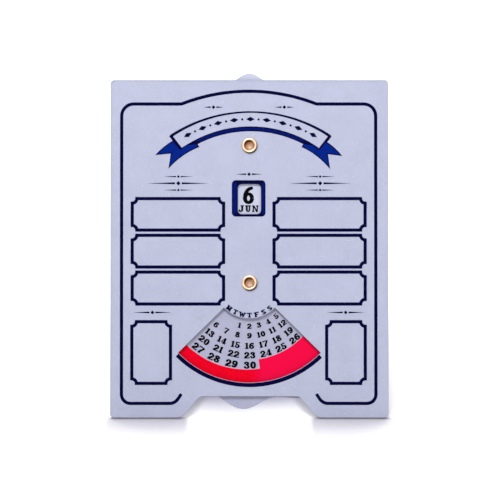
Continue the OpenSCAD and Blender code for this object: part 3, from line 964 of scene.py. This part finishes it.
def tail_on(mirror):
    """The ribbon's tail on one side. The left one is a little longer and higher than the right one."""
    stretch, rise = (1.055, 0.15) if mirror else (0.976, -0.35)
    reached = [(x - TAIL_ROOT, y) for x, y in tail]
    return side([(TAIL_ROOT + x * stretch, y + rise * x / TAIL_L) for x, y in reached], mirror)


strip_top = arch(**BAND_TOP, centre=RIBBON_U)
strip_low = arch(**BAND_LOW, centre=RIBBON_U)
outline = []
for mirror in (False, True):
    outline += [tail_on(mirror)]
    outline += line(side(END_LINE, mirror), END_LINE_W)
outline += stroke(
    arch(**TOP_ARC, centre=RIBBON_U, steps=36),
    lambda tx, ty, part: TOP_LINE_THIN + TOP_LINE_MORE * abs(2 * part - 1) ** 1.3)
outline += [strip_top + strip_low[::-1]]
Print().put(joined(outline)).make("ribbon_outline", "board", NAVY)

fill_top = [(x, y - STRIP_NAVY_TOP) for x, y in strip_top[3:-3]]
fill_low = [(x, y + STRIP_NAVY_LOW) for x, y in strip_low[1:-1]]
strip_fill = Print().put(joined([fill_top + fill_low[::-1]]))
strip_fill.make("ribbon_band_fill", "board", BLUE, thick=OVER_NAVY)
tail_fill = Print()
for mirror in (False, True):
    tail_fill.put(joined([inset(tail_on(mirror), TAIL_NAVY)]))
tail_fill.make("ribbon_fill", "board", RIBBON_BLUE, thick=OVER_NAVY)

# ---------------------------------------------------------------- plain ornaments where the words were


def lozenge(u, v, w, h):
    """A shape with its points left, right, above and below."""
    return [[(u - w / 2, v), (u, v - h / 2), (u + w / 2, v), (u, v + h / 2)]]


def tapered(u0, u1, v, thick):
    """A rule that is thickest at its first end and runs to a point."""
    return [[(u0, v - thick / 2), (u1, v), (u0, v + thick / 2)]]


def flourish(u, v, width, size=1.0):
    """A lozenge between two tapered rules."""
    shape = lozenge(u, v, 1.9 * size, 1.9 * size)
    for way in (-1, 1):
        shape += tapered(u + way * 1.5 * size, u + way * width / 2, v, 0.85 * size)
    return shape


# The row on the ribbon follows a circle: lozenges with a dot between each two.
CROWN_R, CROWN_V = 66.4, TOP_ARC["peak"] - 70.0
CROWN_STEP, CROWN_HALF = 3.55, 8
# Each flourish has its middle's place, its width and its size.
FLOURISHES = (
    (-18.1, 156.3, 9.9, 1.0), (17.6, 156.3, 9.9, 1.0), (-0.2, 122.5, 13.2, 1.0),
    (-35.8, 117.9, 31.0, 1.15), (35.6, 117.9, 31.0, 1.15),
    (-48.8, 52.9, 19.0, 1.0), (48.4, 52.9, 19.0, 1.0),
    (-35.8, 121.3, 14.5, 0.75), (-35.8, 114.5, 14.5, 0.75),
    (35.6, 121.3, 14.5, 0.75), (35.6, 114.5, 14.5, 0.75),
)
ornament = Print()
for i in range(-CROWN_HALF, CROWN_HALF + 1):
    angle = math.radians(i * CROWN_STEP)
    u, v = RIBBON_U + CROWN_R * math.sin(angle), CROWN_V + CROWN_R * math.cos(angle)
    shape = lozenge(0, 0, 4.4, 2.3) if i % 2 == 0 else disc(0, 0, 0.55)
    ornament.put(joined(shape), u, v, turn=-i * CROWN_STEP)
for u, v, width, size in FLOURISHES:
    ornament.put(joined(flourish(u, v, width, size)))
ornament.make("board_ornaments", "board", NAVY)

# ---------------------------------------------------------------- the pivot rivets


def spun(name, profile, v, node, steps=72):
    """A turned rivet on the board's middle line, in the place of a node of the frame.

    The profile's points are (radius, depth), and it starts and ends on the axis."""
    points, faces = [at(0, v, profile[0][1])], []
    rings = profile[1:-1]
    for radius, depth in rings:
        for i in range(steps):
            a = 2 * math.pi * i / steps
            points.append(at(radius * math.cos(a), v + radius * math.sin(a), depth))
    points.append(at(0, v, profile[-1][1]))
    last = len(points) - 1
    for i in range(steps):
        j = (i + 1) % steps
        faces.append((0, 1 + i, 1 + j))
        for ring in range(len(rings) - 1):
            a, b = 1 + ring * steps, 1 + (ring + 1) * steps
            faces.append((a + i, b + i, b + j, a + j))
        a = 1 + (len(rings) - 1) * steps
        faces.append((a + i, last, a + j))
    made = piece(name, points, faces, "board", EYELET, True)
    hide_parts(node)


ROLL_R, ROLL_OUT = 3.13, 0.16
ROLL_HALF_W, ROLL_HALF_H = 0.68, 0.64
SHANK_R, HEAD_R, HEAD_T = 2.9, 4.46, 0.4


def rivet_profile(back):
    """A semi-tubular rivet: dished hollow, rolled rim, shank, and flat head behind the boards."""
    hollow = [
        (0, 1.5), (0.6, 1.46), (1.15, 1.34), (1.6, 1.12),
        (1.95, 0.82), (2.22, 0.44), (2.38, 0.06), (2.45, -0.2)]
    roll = [(ROLL_R + ROLL_HALF_W * math.cos(a), -ROLL_OUT - ROLL_HALF_H * math.sin(a))
            for a in (math.radians(d) for d in range(168, -13, -12))]
    shank = [(3.6, 0.03), (SHANK_R, 0.03), (SHANK_R, back)]
    head = [
        (HEAD_R - 0.16, back), (HEAD_R, back + 0.08), (HEAD_R, back + 0.22), (HEAD_R - 0.12, back + 0.34),
        (HEAD_R - 0.36, back + HEAD_T), (0, back + HEAD_T)]
    return hollow + roll + shank + head


STACK = (FACE - reach("back_board", OUT)[0]) / MM
spun("upper_eyelet", rivet_profile(STACK), MONTH_V, "upper_rivet")
spun("lower_eyelet", rivet_profile(STACK), DATE_V, "lower_rivet")

# ---------------------------------------------------------------- floor, light and camera


# The floor's painted shadow and glow, in mm. X and Y are places on the floor, Y from the board's front bottom
# edge.
SIDE_FROM, SIDE_FULL = 70, 100
GAP_FROM, GAP_FULL, GAP_NARROWS, GAP_LENGTH = 28.5, 36.5, 9, 41
LEFT_FROM, LEFT_FULL, RIGHT_FROM, RIGHT_FULL = -67, -73, 71, 80
PAPER_CLEAR, PAPER_WHITE = 90, 200
NEAR_REACH, WIDE_REACH = 45, 200


def floor_material():
    """White paper that keeps the lamps' shadows of the object, with a glow, seen only by the camera and in
    reflections, that turns it pure white away from the object.

    A painted shadow darkens it where pieces close it in: most along the feet and some behind the board.
    Behind the cut-out it is painted lighter toward the front, as a patch of painted light, and darker further
    back; the glow is raised there too."""
    n = material("paper_floor")
    distance = n.add("ShaderNodeVectorMath", operation="LENGTH")
    n.link(n.place, distance.inputs[0])
    x = n.coordinate("X")
    y = n.math("SUBTRACT", n.coordinate("Y"), at(0, 0).y)
    aside = n.math("ABSOLUTE", x, 0.0)
    # The strip of floor seen through the cut-out, narrowing toward the back.
    narrowed = n.math("ADD", aside, n.ramp(y, 0.0, GAP_LENGTH * MM, 0.0, GAP_NARROWS * MM))
    gap = n.ramp(narrowed, GAP_FROM * MM, GAP_FULL * MM, 1.0, 0.0)
    gap = n.math("MULTIPLY", gap, n.ramp(y, 42 * MM, 80 * MM, 1.0, 0.0))

    # The glow: weaker near the object, full far from it and to the sides, where it covers the lamps' shadows,
    # and raised in the cut-out strip as painted light.
    far = n.ramp(distance.outputs["Value"], PAPER_CLEAR * MM, PAPER_WHITE * MM, 0.45, 1.0)
    far = n.math("MAXIMUM", far, n.ramp(aside, SIDE_FROM * MM, SIDE_FULL * MM, 0.45, 1.0))
    far = n.math("MAXIMUM", far, n.math("MULTIPLY", gap, 0.85))

    # Painted shadow in front of the board, by how closely pieces close the paper in, left out in the cut-out
    # strip and beyond set places to the left and right.
    near = n.openness(NEAR_REACH * MM, 12)
    before = n.math("MULTIPLY", n.ramp(near, 0.7, 0.99, 0.48, 1.0), n.ramp(near, 0.66, 0.78, 0.82, 1.0))
    for clear in (
        gap, n.ramp(x, LEFT_FROM * MM, LEFT_FULL * MM), n.ramp(x, RIGHT_FROM * MM, RIGHT_FULL * MM),
    ):
        before = n.math("MAXIMUM", before, clear)
    # Behind the board: painted shade in the cut-out strip, darker the further back; elsewhere painted shade
    # by how closely the board closes the paper in.
    deep = n.ramp(y, 3 * MM, 43 * MM, 0.0, 0.92)
    through = n.math("SUBTRACT", 1.0, n.math("POWER", deep, 1.7))
    around = n.ramp(n.openness(WIDE_REACH * MM, 12), 0.3, 0.7, 0.42, 1.0)
    painted_shadow = n.mix(n.ramp(y, 0.0, 4 * MM), before, n.mix(gap, around, through))

    matt = n.add("ShaderNodeBsdfDiffuse")
    grain = n.ramp(n.noise(40, 3, 0.5), 0.3, 0.7)
    paper = n.mix(grain, (0.86, 0.86, 0.87, 1.0), (0.9, 0.9, 0.9, 1.0))
    # The painted shadow darkens the paper toward a violet grey, tints the glow lavender and weakens it.
    n.link(n.mix(painted_shadow, (0.2, 0.19, 0.24, 1.0), paper), matt.inputs["Color"])
    glow = n.add("ShaderNodeEmission")
    n.link(n.mix(painted_shadow, (0.7, 0.64, 1.0, 1.0), WHITE), glow.inputs["Color"])
    n.link(n.math("MULTIPLY", n.math("MULTIPLY", far, n.seen()), painted_shadow), glow.inputs["Strength"])
    both = n.add("ShaderNodeAddShader")
    n.link(matt.outputs[0], both.inputs[0])
    n.link(glow.outputs[0], both.inputs[1])
    n.link(both.outputs[0], n.out.inputs["Surface"])
    return n.owner


FLOOR_HALF = 6.0
corners = [(x * FLOOR_HALF, y * FLOOR_HALF, 0) for x, y in ((-1, -1), (1, -1), (1, 1), (-1, 1))]
ground = bpy.data.meshes.new("floor")
ground.from_pydata(corners, [], [(0, 1, 2, 3)])
ground.materials.append(floor_material())
floor = bpy.data.objects.new("floor", ground)
bpy.context.scene.collection.objects.link(floor)

WORLD_LIGHT = 0.3


def white_world():
    """A world that shows as pure white and lights the part a little."""
    world = bpy.data.worlds.new("studio")
    n = Nodes(world, "ShaderNodeOutputWorld")
    backdrop = n.add("ShaderNodeBackground")
    backdrop.inputs["Color"].default_value = WHITE
    n.link(n.ramp(n.seen(), 0.0, 1.0, WORLD_LIGHT, 1.0), backdrop.inputs["Strength"])
    n.link(backdrop.outputs[0], n.out.inputs["Surface"])
    return world


bpy.context.scene.world = white_world()


def lamp(name, place, size, power, colour):
    """A round lamp, in metres and watts, turned to the middle of the board."""
    light = bpy.data.lights.new(name, "AREA")
    light.shape = "DISK"
    light.size = size
    light.energy = power
    light.color = colour
    made = bpy.data.objects.new(name, light)
    bpy.context.scene.collection.objects.link(made)
    made.location = place
    made.rotation_euler = (MIDDLE - Vector(place)).to_track_quat("-Z", "Y").to_euler()


MIDDLE = at(0.3, 84.3)
lamp("key_light", (-0.13, -0.46, 0.75), 0.3, 3.95, (1.0, 0.995, 0.98))
lamp("fill_light", (0.55, -0.7, 0.36), 0.6, 1.4, (0.97, 0.98, 1.0))
lamp("back_light", (0.3, 0.8, 0.55), 0.6, 2.2, (0.98, 0.98, 1.0))

# The camera stands this far away and looks down by these degrees, nearly as much as the board leans.
CAMERA_FAR, CAMERA_RISE = 0.9, 14.1
LENS, SENSOR = 128.75, 36.0
view = Vector((0, -math.cos(math.radians(CAMERA_RISE)), math.sin(math.radians(CAMERA_RISE))))
camera_data = bpy.data.cameras.new("camera")
camera_data.sensor_width = SENSOR
camera_data.lens = LENS
camera = bpy.data.objects.new("camera", camera_data)
bpy.context.scene.collection.objects.link(camera)
camera.location = MIDDLE + view * CAMERA_FAR
camera.rotation_euler = (-view).to_track_quat("-Z", "Y").to_euler()
bpy.context.scene.camera = camera
bpy.context.scene.view_settings.view_transform = "Standard"
